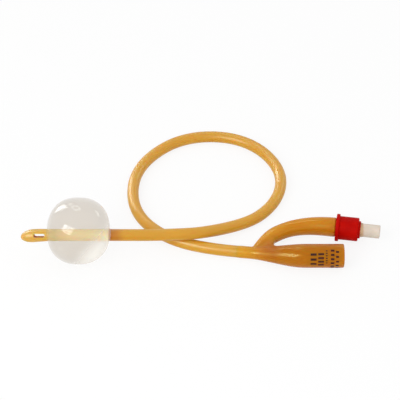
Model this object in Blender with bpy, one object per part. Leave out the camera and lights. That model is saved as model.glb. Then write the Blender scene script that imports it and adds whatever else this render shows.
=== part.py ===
"""A two-way Foley urinary catheter, 18 Ch, lying on a table.

The shaft is a flexible tube that runs along +X from the drainage tip, makes one loop, passes
under itself and ends in a Y-shaped hub. The hub's wide branch is the drainage funnel, and its
curved branch carries the inflation valve. The origin is at the middle of the footprint of tip,
balloon, hub and valve, on the table, +X runs from the tip to the valve and +Z is up.
"""

import functools
import math

import bmesh
import bpy
import numpy as np
from mathutils import Vector

MM = 0.001
CLEARANCE = 0.3 * MM
CUTTER_MARGIN = 1.0 * MM
WELD_DISTANCE = 0.001 * MM

# Shaft, with its route from the tip to the hub
SHAFT_RADIUS = 3.0 * MM
SHAFT_POINTS = 80
SHAFT_ROUTE_MM = [
    (-75.2, -2.3, 14.6),
    (-62.9, -2.3, 14.6),
    (-52.8, -2.3, 14.6),
    (-45.3, -2.2, 14.5),
    (-36.3, -1.3, 13.6),
    (-26.9, 0.1, 12.3),
    (-14.9, 2.0, 10.9),
    (-3.3, 4.8, 9.2),
    (7.3, 9.8, 6.6),
    (17.3, 15.7, 4.2),
    (27.5, 22.4, 3.2),
    (35.7, 31.7, 3.1),
    (40.7, 43.2, 3.1),
    (41.6, 55.5, 3.1),
    (38.1, 67.1, 3.1),
    (31.2, 77.1, 3.1),
    (21.6, 84.3, 3.1),
    (10.0, 87.8, 3.1),
    (-2.1, 87.5, 3.1),
    (-13.6, 83.4, 3.1),
    (-22.8, 76.2, 3.1),
    (-30.1, 66.8, 3.1),
    (-34.7, 55.7, 3.1),
    (-36.1, 43.6, 3.1),
    (-34.6, 31.6, 3.1),
    (-29.8, 20.7, 3.1),
    (-21.7, 11.7, 3.1),
    (-11.4, 5.1, 3.1),
    (0.0, 1.1, 3.1),
    (11.9, -1.4, 3.1),
    (23.9, -3.1, 3.2),
]

# Drainage tip
TIP_LENGTH = 15.5 * MM
TIP_NOSE_LENGTH = 6.5 * MM
TIP_BULGE = 0.3 * MM
TIP_DROOP = 0.9 * MM
TIP_BORE_RADIUS = 1.9 * MM
TIP_BORE_DEPTH = 10.5 * MM
EYE_LENGTH = 5.6 * MM
EYE_HEIGHT = 1.9 * MM
EYE_FROM_NOSE = 9.4 * MM
EYE_TILT = math.radians(34)

# Balloon, inflated off centre because it lies on the table
BALLOON_X = -61.7 * MM
BALLOON_RADIUS = 16.8 * MM
BALLOON_HALF_LENGTH = 15.6 * MM
BALLOON_FULLNESS = 2.3
BALLOON_TOP_FULLNESS = 0.1
BALLOON_WALL = 0.45 * MM
BALLOON_SHIFT_Y = 0.7 * MM
BALLOON_LEAN = 1.0 * MM
CUFF_LENGTH = 3.0 * MM
CUFF_WALL = 0.45 * MM

# Hub: neck and drainage funnel
NECK_WALL_STEP = 0.15 * MM
FLARE_LENGTH = 28.0 * MM
FLARE_REACH = 9.0 * MM
MOUTH_LENGTH = 19.2 * MM
FUNNEL_RADIUS = 6.05 * MM
FUNNEL_WALL = 1.15 * MM
FUNNEL_Y = -8.5 * MM
FUNNEL_BORE_LENGTH = 32.0 * MM
DRAIN_CHANNEL_RADIUS = 1.3 * MM
DRAIN_CHANNEL_SHIFT = 0.5 * MM

# Hub: inflation arm
ARM_BASE_INSET = 2.6 * MM
ARM_BASE_RADIUS = 2.7 * MM
ARM_MIDDLE_RADIUS = 4.0 * MM
ARM_END_RADIUS = 5.0 * MM
ARM_MIDDLE = 0.3
ARM_BASE_ANGLE = math.radians(61.8)
ARM_BASE_REACH = 23.5 * MM
ARM_BASE_LIFT = 1.5 * MM
ARM_END_REACH = 11.8 * MM
INFLATION_CHANNEL_RADIUS = 0.45 * MM
INFLATION_CHANNEL_SHIFT = 1.8 * MM
CROTCH_REACH = 18.0 * MM
CROTCH_TURN = 11.0 * MM
CROTCH_THICKNESS_RADIUS = 2.4 * MM
BRANCH_FILL = 0.9

# Inflation valve, along its own axis from the flange's inner face outwards
VALVE_X = 68.4 * MM
VALVE_Y = 11.5 * MM
VALVE_YAW = math.radians(-8.9)
FLANGE_RADIUS = 7.0 * MM
FLANGE_THICKNESS = 1.7 * MM
COLLAR_RADIUS = 6.0 * MM
COLLAR_LENGTH = 11.5 * MM
COLLAR_END_WALL = 1.2 * MM
COLLAR_WALL = 1.4 * MM
BOSS_WALL = 0.5 * MM
BOSS_LENGTH = 1.0 * MM
EDGE_ROUND = 0.35 * MM
CORNER_ROUND = 0.7 * MM

PORT_RADIUS = 3.4 * MM
PORT_LENGTH = 9.0 * MM
PORT_NECK_RADIUS = 3.6 * MM
PORT_NECK_LENGTH = 1.0 * MM
LUER_MOUTH_RADIUS = 2.1 * MM
LUER_DEPTH = 7.5 * MM
LUER_TAPER = 0.03
PASSAGE_RADIUS = 1.7 * MM
CHAMBER_WALL = 1.0 * MM
SEAT_THICKNESS = 0.8 * MM

TAIL_FLANGE_THICKNESS = 1.7 * MM
SPIGOT_LENGTH = 1.6 * MM
TAIL_LENGTH = 9.0 * MM
TAIL_RADIUS = 2.1 * MM
BARB_HEIGHT = 0.45 * MM
BARB_COUNT = 3
TAIL_BORE_RADIUS = 1.3 * MM

STEM_RADIUS = 1.2 * MM
STEM_IN_LUER = 0.9 * MM
STEM_SLOT_WIDTH = 0.6 * MM
STEM_SLOT_DEPTH = 0.9 * MM
DISC_THICKNESS = 0.6 * MM
DISC_CLEARANCE = 0.6 * MM
GUIDE_RADIUS = 0.8 * MM
GUIDE_LENGTH = 4.8 * MM
SEAL_THICKNESS = 0.7 * MM
SPRING_WIRE_RADIUS = 0.17 * MM
SPRING_COILS = 3
SPRING_POINTS_PER_COIL = 12

# Places along the valve's axis that follow from the sizes above
COLLAR_BORE_RADIUS = COLLAR_RADIUS - COLLAR_WALL
CHAMBER_RADIUS = COLLAR_BORE_RADIUS - CLEARANCE
CHAMBER_BORE_RADIUS = CHAMBER_RADIUS - CHAMBER_WALL
CHAMBER_FRONT = COLLAR_LENGTH - COLLAR_END_WALL - CLEARANCE
SEAT = CHAMBER_FRONT - SEAT_THICKNESS
BOSS_FRONT = COLLAR_LENGTH + BOSS_LENGTH
PORT_START = BOSS_FRONT + PORT_NECK_LENGTH
PORT_END = PORT_START + PORT_LENGTH
LUER_BOTTOM = PORT_END - LUER_DEPTH
LUER_BOTTOM_RADIUS = LUER_MOUTH_RADIUS - LUER_TAPER * LUER_DEPTH
TAIL_START = CLEARANCE
TAIL_FLANGE_FRONT = TAIL_START + TAIL_FLANGE_THICKNESS
SPIGOT_FRONT = TAIL_FLANGE_FRONT + SPIGOT_LENGTH
SPIGOT_RADIUS = CHAMBER_BORE_RADIUS - CLEARANCE
CHAMBER_BACK = TAIL_FLANGE_FRONT + CLEARANCE
SEAL_FRONT = SEAT - CLEARANCE
SEAL_BACK = SEAL_FRONT - SEAL_THICKNESS
DISC_FRONT = SEAL_BACK - CLEARANCE
DISC_BACK = DISC_FRONT - DISC_THICKNESS
DISC_RADIUS = CHAMBER_BORE_RADIUS - DISC_CLEARANCE
ARM_BORE_RADIUS = TAIL_RADIUS + BARB_HEIGHT + CLEARANCE
SHAFT_HEIGHT_IN_BALLOON = SHAFT_ROUTE_MM[0][2] * MM
FUNNEL_LENGTH = FLARE_LENGTH + MOUTH_LENGTH


def clear_scene():
    for item in list(bpy.data.objects):
        bpy.data.objects.remove(item, do_unlink=True)


def make_material(name, colour, roughness, metallic=0.0, alpha=1.0):
    material = bpy.data.materials.new(name)
    material.use_nodes = True
    shader = material.node_tree.nodes["Principled BSDF"]
    shader.inputs["Base Color"].default_value = (*colour, 1.0)
    shader.inputs["Roughness"].default_value = roughness
    shader.inputs["Metallic"].default_value = metallic
    shader.inputs["Alpha"].default_value = alpha
    return material


def add_object(name, bm, material=None, smooth_angle=40):
    """The mesh becomes an object, closed, facing out and shaded smooth across soft edges."""
    bmesh.ops.remove_doubles(bm, verts=bm.verts, dist=WELD_DISTANCE)
    bmesh.ops.recalc_face_normals(bm, faces=bm.faces)
    mesh = bpy.data.meshes.new(name)
    bm.to_mesh(mesh)
    bm.free()
    mesh.shade_smooth()
    mesh.set_sharp_from_angle(angle=math.radians(smooth_angle))
    item = bpy.data.objects.new(name, mesh)
    bpy.context.scene.collection.objects.link(item)
    if material:
        mesh.materials.append(material)
    return item


def combine(target, helper, operation):
    """Joins a helper to the target or cuts it away, and keeps the helper out of the render."""
    helper.hide_render = True
    helper.display_type = "WIRE"
    modifier = target.modifiers.new(f"{operation.lower()}_{helper.name}", "BOOLEAN")
    modifier.operation = operation
    modifier.object = helper
    modifier.solver = "EXACT"


def ease(t):
    """0 to 1 with a level start and end."""
    t = min(max(t, 0.0), 1.0)
    return t * t * (3 - 2 * t)


def blend(a, b, t):
    return a + (b - a) * t


def bezier(p0, p1, p2, p3, t):
    s = 1 - t
    return s**3 * p0 + 3 * s * s * t * p1 + 3 * s * t * t * p2 + t**3 * p3


def smooth_curve(points, count):
    """Evenly spaced points on the natural cubic spline through the given points."""
    points = np.array(points, float)
    knots = np.concatenate([[0], np.cumsum(np.linalg.norm(np.diff(points, axis=0), axis=1))])
    step = np.diff(knots)
    last = len(points) - 1
    system = np.eye(last + 1)
    wanted = np.zeros_like(points)
    for i in range(1, last):
        system[i, i - 1 : i + 2] = step[i - 1], 2 * (step[i - 1] + step[i]), step[i]
        ahead = (points[i + 1] - points[i]) / step[i]
        behind = (points[i] - points[i - 1]) / step[i - 1]
        wanted[i] = 6 * (ahead - behind)
    bend = np.linalg.solve(system, wanted)

    def at(u):
        i = min(int(np.searchsorted(knots, u, side="right")) - 1, last - 1)
        a = (knots[i + 1] - u) / step[i]
        b = (u - knots[i]) / step[i]
        curve = (a**3 - a) * bend[i] + (b**3 - b) * bend[i + 1]
        return a * points[i] + b * points[i + 1] + curve * step[i] ** 2 / 6

    return [Vector(at(u)) for u in np.linspace(0, knots[-1], count)]


def ring_around(centre, direction, radius, sides):
    """A ring of points round a centre, square to a direction, that starts level beside it."""
    side = Vector((0, 0, 1)).cross(direction).normalized()
    up = direction.cross(side).normalized()
    angles = [2 * math.pi * i / sides for i in range(sides)]
    return [centre + radius * (side * math.cos(a) + up * math.sin(a)) for a in angles]


def loft(rings, closed=False):
    """A skin over rings of equally many points, capped at both ends or closed on itself."""
    bm = bmesh.new()
    loops = [[bm.verts.new(point) for point in ring] for ring in rings]
    pairs = list(zip(loops, loops[1:] + loops[:1])) if closed else list(zip(loops, loops[1:]))
    for first, second in pairs:
        for i in range(len(first)):
            j = (i + 1) % len(first)
            bm.faces.new((first[i], first[j], second[j], second[i]))
    if not closed:
        bm.faces.new(loops[0])
        bm.faces.new(loops[-1])
    return bm


def tube_along(path, radii, sides):
    """A round skin along a path, with a radius for each of its points."""
    rings = []
    for i, point in enumerate(path):
        direction = (path[min(i + 1, len(path) - 1)] - path[max(i - 1, 0)]).normalized()
        rings.append(ring_around(point, direction, radii[i], sides))
    return loft(rings)


def rounded(corners, steps=3):
    """A profile whose corners, given as (x, radius from the axis, rounding), become arcs."""
    points = []
    count = len(corners)
    for i, (x, r, rounding) in enumerate(corners):
        here = Vector((x, r))
        if rounding == 0:
            points.append(here)
            continue
        before = Vector(corners[i - 1][:2]) - here
        after = Vector(corners[(i + 1) % count][:2]) - here
        half = before.angle(after) / 2
        reach = rounding / math.tan(half)
        centre = here + (before.normalized() + after.normalized()).normalized() * (
            rounding / math.sin(half)
        )
        start = here + before.normalized() * reach - centre
        end = here + after.normalized() * reach - centre
        for k in range(steps + 1):
            arm = start.lerp(end, k / steps).normalized() * rounding
            points.append(centre + arm)
    return points


def turned(profile, sides, closed):
    """A profile of (x, radius) points spun about the X axis."""
    bm = bmesh.new()
    verts = [bm.verts.new((point[0], 0, point[1])) for point in profile]
    edges = [bm.edges.new(pair) for pair in zip(verts, verts[1:])]
    if closed:
        edges.append(bm.edges.new((verts[-1], verts[0])))
    bmesh.ops.spin(
        bm,
        geom=verts + edges,
        cent=(0, 0, 0),
        axis=(1, 0, 0),
        angle=2 * math.pi,
        steps=sides,
        use_merge=True,
    )
    return bm


def poly_tube(name, points, radius, bevel_resolution, material):
    """A plain round tube with filled ends along a chain of points."""
    curve = bpy.data.curves.new(name, "CURVE")
    curve.dimensions = "3D"
    curve.bevel_depth = radius
    curve.bevel_resolution = bevel_resolution
    curve.use_fill_caps = True
    spline = curve.splines.new("POLY")
    spline.points.add(len(points) - 1)
    for spot, point in zip(spline.points, points):
        spot.co = (*point, 1)
    curve.materials.append(material)
    item = bpy.data.objects.new(name, curve)
    bpy.context.scene.collection.objects.link(item)
    return item


@functools.cache
def shaft_path():
    route = [Vector(point) * MM for point in SHAFT_ROUTE_MM]
    return smooth_curve(route, SHAFT_POINTS)


def make_shaft(material):
    return poly_tube("shaft", shaft_path(), SHAFT_RADIUS, 4, material)


def tip_rings(sides=28, nose_steps=9):
    """Rings from the rounded nose, which hangs a little, back to the end that meets the shaft."""
    largest = SHAFT_RADIUS + TIP_BULGE
    stations = []
    for i in range(1, nose_steps + 1):
        turn = math.pi / 2 * i / nose_steps
        from_nose = TIP_NOSE_LENGTH * (1 - math.cos(turn))
        stations.append((from_nose, largest * math.sin(turn)))
    stations.append((blend(TIP_NOSE_LENGTH, TIP_LENGTH, 0.5), SHAFT_RADIUS + TIP_BULGE / 6))
    stations.append((TIP_LENGTH, SHAFT_RADIUS))
    rings = []
    for from_nose, radius in stations:
        droop = TIP_DROOP * (1 - from_nose / TIP_LENGTH) ** 2
        centre = Vector((from_nose - TIP_LENGTH, -0.6 * droop, -0.8 * droop))
        rings.append(ring_around(centre, Vector((1, 0, 0)), radius, sides))
    return rings


def make_tip(material):
    """The closed drainage tip. Its own axis ends where it meets the shaft."""
    rings = tip_rings()
    nose = Vector((-TIP_LENGTH, -0.6 * TIP_DROOP, -0.8 * TIP_DROOP))
    bm = loft(rings)
    bm.verts.ensure_lookup_table()
    front_cap = min(bm.faces, key=lambda face: face.calc_center_median().x)
    bmesh.ops.poke(bm, faces=[front_cap])
    centre = min(bm.verts, key=lambda vert: (vert.co - nose).length)
    centre.co = nose
    tip = add_object("tip", bm, material)

    half = EYE_LENGTH / 2 - EYE_HEIGHT / 2
    outline = []
    for side in (1, -1):
        for i in range(9):
            angle = side * math.pi / 2 - math.pi * i / 8
            x = side * half + EYE_HEIGHT / 2 * math.cos(angle)
            outline.append((x, EYE_HEIGHT / 2 * math.sin(angle)))
    reach = SHAFT_RADIUS + TIP_BULGE + CUTTER_MARGIN
    through = [
        [Vector((x, depth, z)) for x, z in outline]
        for depth in (-reach, reach)
    ]
    eye = add_object("eye_cutter", loft(through))
    eye.parent = tip
    eye.location = (EYE_FROM_NOSE - TIP_LENGTH, 0, 0)
    eye.rotation_euler = (-EYE_TILT, 0, 0)

    bore_profile = [(CUTTER_MARGIN, 0), (CUTTER_MARGIN, TIP_BORE_RADIUS)]
    round_start = TIP_BORE_RADIUS - TIP_BORE_DEPTH
    for i in range(7):
        turn = math.pi / 2 * i / 6
        x = round_start - TIP_BORE_RADIUS * math.sin(turn)
        bore_profile.append((x, TIP_BORE_RADIUS * math.cos(turn)))
    bore = add_object("tip_bore_cutter", turned(bore_profile, 20, closed=False))
    bore.parent = tip

    combine(tip, bore, "DIFFERENCE")
    combine(tip, eye, "DIFFERENCE")
    start = Vector(SHAFT_ROUTE_MM[0]) * MM
    tip.location = start - Vector((CLEARANCE, 0, 0))
    return tip


def balloon_profile(half_length, radius, stop_radius, steps):
    """(x, radius, share of full size) from the -X neck to the +X neck of a full, blunt egg."""
    power = 2 / BALLOON_FULLNESS
    limit = math.acos((stop_radius / radius) ** (1 / power))
    found = []
    for i in range(steps + 1):
        turn = limit * (2 * i / steps - 1)
        x = math.copysign(half_length * abs(math.sin(turn)) ** power, turn)
        r = radius * math.cos(turn) ** power
        found.append((x, r, (r - stop_radius) / (radius - stop_radius)))
    return found


def make_balloon(material, sides=36, steps=22):
    """A thin membrane, a little longer above the shaft, whose two necks turn in and grip it."""
    bore = SHAFT_RADIUS + CLEARANCE
    cuff = bore + CUFF_WALL
    outer = balloon_profile(BALLOON_HALF_LENGTH, BALLOON_RADIUS, cuff, steps)
    inner = balloon_profile(
        BALLOON_HALF_LENGTH - BALLOON_WALL, BALLOON_RADIUS - BALLOON_WALL, cuff, steps
    )
    cuff_end = BALLOON_HALF_LENGTH - CUFF_LENGTH
    section = [(-BALLOON_HALF_LENGTH, bore, 0), *outer, (BALLOON_HALF_LENGTH, bore, 0)]
    section += [(cuff_end, bore, 0), (cuff_end, cuff, 0), *reversed(inner)]
    section += [(-cuff_end, cuff, 0), (-cuff_end, bore, 0)]
    rise = BALLOON_RADIUS - SHAFT_HEIGHT_IN_BALLOON
    rings = []
    for x, radius, fullness in section:
        lean = BALLOON_LEAN * x / BALLOON_HALF_LENGTH * (1 - fullness)
        centre = Vector((x, BALLOON_SHIFT_Y * fullness, (rise + lean) * fullness))
        ring = ring_around(centre, Vector((1, 0, 0)), radius, sides)
        for point in ring:
            point.x *= 1 + BALLOON_TOP_FULLNESS * point.z / BALLOON_RADIUS
        rings.append(ring)
    balloon = add_object("balloon", loft(rings, closed=True), material)
    shaft_y = SHAFT_ROUTE_MM[0][1] * MM
    balloon.location = (BALLOON_X, shaft_y, SHAFT_HEIGHT_IN_BALLOON)
    return balloon


@functools.cache
def neck():
    """The middle of the hub's end face, which meets the shaft's end, and the way the shaft runs."""
    before, end = shaft_path()[-2:]
    along = (end - before).normalized()
    return end + along * CLEARANCE, along


def funnel_station(x):
    """Centre and radius of the hub's drainage branch, x along it from the neck to the mouth."""
    start, along = neck()
    share = min(max(x / FLARE_LENGTH, 0.0), 1.0)
    radius = blend(SHAFT_RADIUS + NECK_WALL_STEP, FUNNEL_RADIUS, ease(share))
    flare_end = Vector((start.x + FLARE_LENGTH, FUNNEL_Y, FUNNEL_RADIUS))
    leave = start + along * FLARE_REACH
    arrive = flare_end - Vector((FLARE_REACH, 0, 0))
    centre = bezier(start, leave, arrive, flare_end, share)
    neck_lift = start.z - SHAFT_RADIUS - NECK_WALL_STEP
    centre.z = radius + blend(neck_lift, 0.0, ease(share))
    centre.x += max(x - FLARE_LENGTH, 0.0)
    return centre, radius


def arm_path(steps):
    """The inflation arm's centre line in the hub, from inside the neck to the valve's flange."""
    start, _ = funnel_station(ARM_BASE_INSET)
    leave = Vector((math.cos(ARM_BASE_ANGLE), math.sin(ARM_BASE_ANGLE), 0)) * ARM_BASE_REACH
    leave.z = ARM_BASE_LIFT
    arrive = Vector((math.cos(VALVE_YAW), math.sin(VALVE_YAW), 0))
    end = Vector((VALVE_X, VALVE_Y, FLANGE_RADIUS)) - arrive * CLEARANCE
    handles = (start + leave, end - arrive * ARM_END_REACH)
    return [bezier(start, *handles, end, i / steps) for i in range(steps + 1)]


def arm_radius(t):
    if t < ARM_MIDDLE:
        return blend(ARM_BASE_RADIUS, ARM_MIDDLE_RADIUS, ease(t / ARM_MIDDLE))
    return blend(ARM_MIDDLE_RADIUS, ARM_END_RADIUS, ease((t - ARM_MIDDLE) / (1 - ARM_MIDDLE)))


def make_funnel_blank(material, sides=32, steps=18):
    stations = [funnel_station(FLARE_LENGTH * i / steps) for i in range(steps + 1)]
    stations.append(funnel_station(FUNNEL_LENGTH))
    path = [centre for centre, _ in stations]
    radii = [radius for _, radius in stations]
    return add_object("hub", tube_along(path, radii, sides), material)


def make_arm_blank(sides=28, steps=20):
    path = arm_path(steps)
    radii = [arm_radius(i / steps) for i in range(steps + 1)]
    return add_object("arm_blank", tube_along(path, radii, sides))


def crotch_path(steps):
    """A U from inside the arm, back round the crotch and out inside the drainage branch."""
    start, _ = neck()
    arm = arm_path(40)
    far = min(range(1, 40), key=lambda i: abs(arm[i].x - start.x - CROTCH_REACH))
    along_arm = (arm[far + 1] - arm[far - 1]).normalized()
    funnel, _ = funnel_station(CROTCH_REACH)
    behind, _ = funnel_station(CROTCH_REACH - CUTTER_MARGIN)
    along_funnel = (funnel - behind).normalized()
    handles = (arm[far] - along_arm * CROTCH_TURN, funnel - along_funnel * CROTCH_TURN)
    return [bezier(arm[far], *handles, funnel, i / steps) for i in range(steps + 1)]


def make_crotch_blank(sides=24, steps=16):
    """The rounded inner edge where the two branches part."""
    path = crotch_path(steps)
    ends = (BRANCH_FILL * ARM_MIDDLE_RADIUS, BRANCH_FILL * funnel_station(CROTCH_REACH)[1])
    radii = []
    for i in range(steps + 1):
        from_middle = 2 * i / steps - 1
        end = ends[0] if from_middle < 0 else ends[1]
        radii.append(blend(CROTCH_THICKNESS_RADIUS, end, ease(abs(from_middle))))
    return add_object("crotch_blank", tube_along(path, radii, sides))


def make_web_blank(stations=8, steps=8):
    """The web behind the crotch: hollow on top and below, thickest inside the branches."""
    start, _ = neck()
    arm = arm_path(40)
    edge = crotch_path(2)[1]
    sections = []
    for i in range(stations + 1):
        x = blend(2 * ARM_BASE_INSET, edge.x - start.x, i / stations)
        funnel, radius = funnel_station(x)
        beside = min(arm, key=lambda point: abs(point.x - funnel.x))
        upper = []
        lower = []
        for k in range(steps + 1):
            middle = funnel.lerp(beside, k / steps)
            from_middle = abs(2 * k / steps - 1)
            height = blend(CROTCH_THICKNESS_RADIUS, BRANCH_FILL * radius, from_middle**2)
            upper.append(Vector((funnel.x, middle.y, middle.z + height)))
            lower.append(Vector((funnel.x, middle.y, middle.z - height)))
        sections.append(upper + lower[::-1])
    return add_object("web_blank", loft(sections))


def make_drain_cutter(sides=28, steps=14):
    """The funnel's bore, wide enough at the mouth for a drainage connector."""
    start, along = neck()
    channel_length = FUNNEL_LENGTH - FUNNEL_BORE_LENGTH
    path = [start - along * CUTTER_MARGIN - Vector((0, DRAIN_CHANNEL_SHIFT, 0))]
    radii = [DRAIN_CHANNEL_RADIUS]
    for i in range(steps + 1):
        x = FUNNEL_LENGTH * i / steps
        centre, _ = funnel_station(x)
        shift = DRAIN_CHANNEL_SHIFT * (1 - ease(x / channel_length))
        path.append(centre - Vector((0, shift, 0)))
        widening = ease((x - channel_length) / (FLARE_LENGTH - channel_length))
        radii.append(blend(DRAIN_CHANNEL_RADIUS, FUNNEL_RADIUS - FUNNEL_WALL, widening))
    path.append(path[-1] + Vector((CUTTER_MARGIN, 0, 0)))
    radii.append(radii[-1])
    return add_object("drain_cutter", tube_along(path, radii, sides))


def make_arm_cutter(sides=20, steps=24):
    """The arm's bore for the valve's barbed tail, narrowing to the inflation channel."""
    path = arm_path(steps)
    out = (path[-1] - path[-2]).normalized()
    centres = [path[-1] + out * CUTTER_MARGIN]
    radii = [ARM_BORE_RADIUS]
    travelled = 0.0
    narrow_from = TAIL_LENGTH + CLEARANCE
    inner_steps = steps // 4
    for i in range(steps, inner_steps, -1):
        centres.append(path[i])
        narrowing = ease((travelled - narrow_from) / (2 * ARM_BORE_RADIUS))
        radii.append(blend(ARM_BORE_RADIUS, INFLATION_CHANNEL_RADIUS, narrowing))
        travelled += (path[i] - path[i - 1]).length
    start, along = neck()
    side = Vector((0, INFLATION_CHANNEL_SHIFT, 0))
    bend, _ = funnel_station(ARM_BASE_INSET)
    centres += [bend + side, start + side, start + side - along * CUTTER_MARGIN]
    radii += [INFLATION_CHANNEL_RADIUS] * 3
    return add_object("arm_cutter", tube_along(centres, radii, sides))


def make_hub(material):
    """One moulding: neck, drainage funnel, inflation arm and the web between them."""
    hub = make_funnel_blank(material)
    combine(hub, make_arm_blank(), "UNION")
    combine(hub, make_web_blank(), "UNION")
    combine(hub, make_crotch_blank(), "UNION")
    combine(hub, make_drain_cutter(), "DIFFERENCE")
    combine(hub, make_arm_cutter(), "DIFFERENCE")
    return hub


def make_valve_frame():
    """The valve's own axis: its X runs from the flange's inner face out through the port."""
    frame = bpy.data.objects.new("valve_frame", None)
    bpy.context.scene.collection.objects.link(frame)
    frame.location = (VALVE_X, VALVE_Y, FLANGE_RADIUS)
    frame.rotation_euler = (0, 0, VALVE_YAW)
    return frame


def make_collar(material):
    hole = PORT_NECK_RADIUS + CLEARANCE
    boss = hole + BOSS_WALL
    wall_back = COLLAR_LENGTH - COLLAR_END_WALL
    corners = [
        (0, COLLAR_BORE_RADIUS, 0),
        (0, FLANGE_RADIUS, EDGE_ROUND),
        (FLANGE_THICKNESS, FLANGE_RADIUS, EDGE_ROUND),
        (FLANGE_THICKNESS, COLLAR_RADIUS, 0),
        (COLLAR_LENGTH, COLLAR_RADIUS, CORNER_ROUND),
        (COLLAR_LENGTH, boss, 0),
        (BOSS_FRONT, boss, 0),
        (BOSS_FRONT, hole, 0),
        (wall_back, hole, 0),
        (wall_back, COLLAR_BORE_RADIUS, 0),
    ]
    return add_object("valve_collar", turned(rounded(corners), 36, closed=True), material)


def make_port(material):
    """The syringe port with its luer taper, and the valve's chamber and seat behind it."""
    corners = [
        (CHAMBER_BACK, CHAMBER_BORE_RADIUS, 0),
        (CHAMBER_BACK, CHAMBER_RADIUS, 0),
        (CHAMBER_FRONT, CHAMBER_RADIUS, EDGE_ROUND),
        (CHAMBER_FRONT, PORT_NECK_RADIUS, 0),
        (PORT_START, PORT_NECK_RADIUS, 0),
        (PORT_START, PORT_RADIUS, 0),
        (PORT_END, PORT_RADIUS, CORNER_ROUND),
        (PORT_END, LUER_MOUTH_RADIUS, 0),
        (LUER_BOTTOM, LUER_BOTTOM_RADIUS, 0),
        (LUER_BOTTOM, PASSAGE_RADIUS, 0),
        (SEAT, PASSAGE_RADIUS, 0),
        (SEAT, CHAMBER_BORE_RADIUS, 0),
    ]
    return add_object("valve_port", turned(rounded(corners), 32, closed=True), material)


def make_tail(material):
    """The barbed inner half of the valve's body. It closes the chamber and holds in the arm."""
    corners = [
        (SPIGOT_FRONT, TAIL_BORE_RADIUS, 0),
        (SPIGOT_FRONT, SPIGOT_RADIUS, 0),
        (TAIL_FLANGE_FRONT, SPIGOT_RADIUS, 0),
        (TAIL_FLANGE_FRONT, CHAMBER_RADIUS, 0),
        (TAIL_START, CHAMBER_RADIUS, 0),
        (TAIL_START, TAIL_RADIUS, 0),
    ]
    pitch = TAIL_LENGTH / (BARB_COUNT + 1)
    for i in range(1, BARB_COUNT + 1):
        corners.append((TAIL_START - pitch * i, TAIL_RADIUS + BARB_HEIGHT, 0))
        corners.append((TAIL_START - pitch * (i + 0.8), TAIL_RADIUS, 0))
    corners.append((TAIL_START - TAIL_LENGTH, TAIL_RADIUS, 0))
    corners.append((TAIL_START - TAIL_LENGTH, TAIL_BORE_RADIUS, 0))
    return add_object("valve_tail", turned(rounded(corners[::-1]), 24, closed=True), material)


def make_plunger(material):
    """The plunger: guide pin, disc, and a stem whose slotted end waits inside the port."""
    front = LUER_BOTTOM + STEM_IN_LUER
    profile = [
        (DISC_BACK - GUIDE_LENGTH, 0),
        (DISC_BACK - GUIDE_LENGTH, GUIDE_RADIUS),
        (DISC_BACK, GUIDE_RADIUS),
        (DISC_BACK, DISC_RADIUS),
        (DISC_FRONT, DISC_RADIUS),
        (DISC_FRONT, STEM_RADIUS),
        (front, STEM_RADIUS),
        (front, 0),
    ]
    plunger = add_object("valve_plunger", turned(profile, 20, closed=False), material)
    bm = bmesh.new()
    bmesh.ops.create_cube(bm, size=1)
    length = 2 * STEM_SLOT_DEPTH
    across = 2 * (STEM_RADIUS + CUTTER_MARGIN)
    bmesh.ops.scale(bm, vec=(length, across, STEM_SLOT_WIDTH), verts=bm.verts)
    slot = add_object("slot_cutter", bm)
    slot.parent = plunger
    slot.location = (front, 0, 0)
    combine(plunger, slot, "DIFFERENCE")
    return plunger


def make_seal(material):
    corners = [
        (SEAL_BACK, STEM_RADIUS + CLEARANCE, 0),
        (SEAL_BACK, DISC_RADIUS, 0),
        (SEAL_FRONT, DISC_RADIUS, 0),
        (SEAL_FRONT, STEM_RADIUS + CLEARANCE, 0),
    ]
    return add_object("valve_seal", turned(rounded(corners), 24, closed=True), material)


def make_spring(material):
    """A coil spring between the tail's spigot and the plunger's disc."""
    start = SPIGOT_FRONT + CLEARANCE + SPRING_WIRE_RADIUS
    end = DISC_BACK - CLEARANCE - SPRING_WIRE_RADIUS
    radius = (GUIDE_RADIUS + SPIGOT_RADIUS) / 2
    count = SPRING_COILS * SPRING_POINTS_PER_COIL
    points = []
    for i in range(count + 1):
        angle = 2 * math.pi * i / SPRING_POINTS_PER_COIL
        x = blend(start, end, i / count)
        points.append(Vector((x, radius * math.cos(angle), radius * math.sin(angle))))
    return poly_tube("valve_spring", points, SPRING_WIRE_RADIUS, 1, material)


def main():
    clear_scene()
    latex = make_material("amber_latex", (0.62, 0.33, 0.07), 0.35)
    membrane = make_material("clear_membrane", (0.85, 0.82, 0.76), 0.1, alpha=0.3)
    red = make_material("red_plastic", (0.46, 0.01, 0.0), 0.4)
    white = make_material("white_plastic", (0.67, 0.6, 0.5), 0.45)
    ivory = make_material("ivory_plastic", (0.8, 0.8, 0.78), 0.45)
    black = make_material("seal_rubber", (0.03, 0.03, 0.03), 0.6)
    steel = make_material("spring_steel", (0.6, 0.6, 0.6), 0.3, metallic=1.0)

    make_shaft(latex)
    make_tip(latex)
    make_balloon(membrane)
    make_hub(latex)
    frame = make_valve_frame()
    for piece in (
        make_collar(red),
        make_port(white),
        make_tail(white),
        make_plunger(ivory),
        make_seal(black),
        make_spring(steel),
    ):
        piece.parent = frame


main()
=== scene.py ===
"""The looks of a two-way latex Foley catheter, lying on a table with its balloon inflated.

All lengths are in metres in the row's frame: +X from the drainage tip to the funnel's mouth,
+Y to the side of the shaft's loop and the inflation arm, +Z up, the table at Z = 0.
"""

import math

import bmesh
import bpy
import numpy as np
from mathutils import Matrix, Vector


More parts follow.
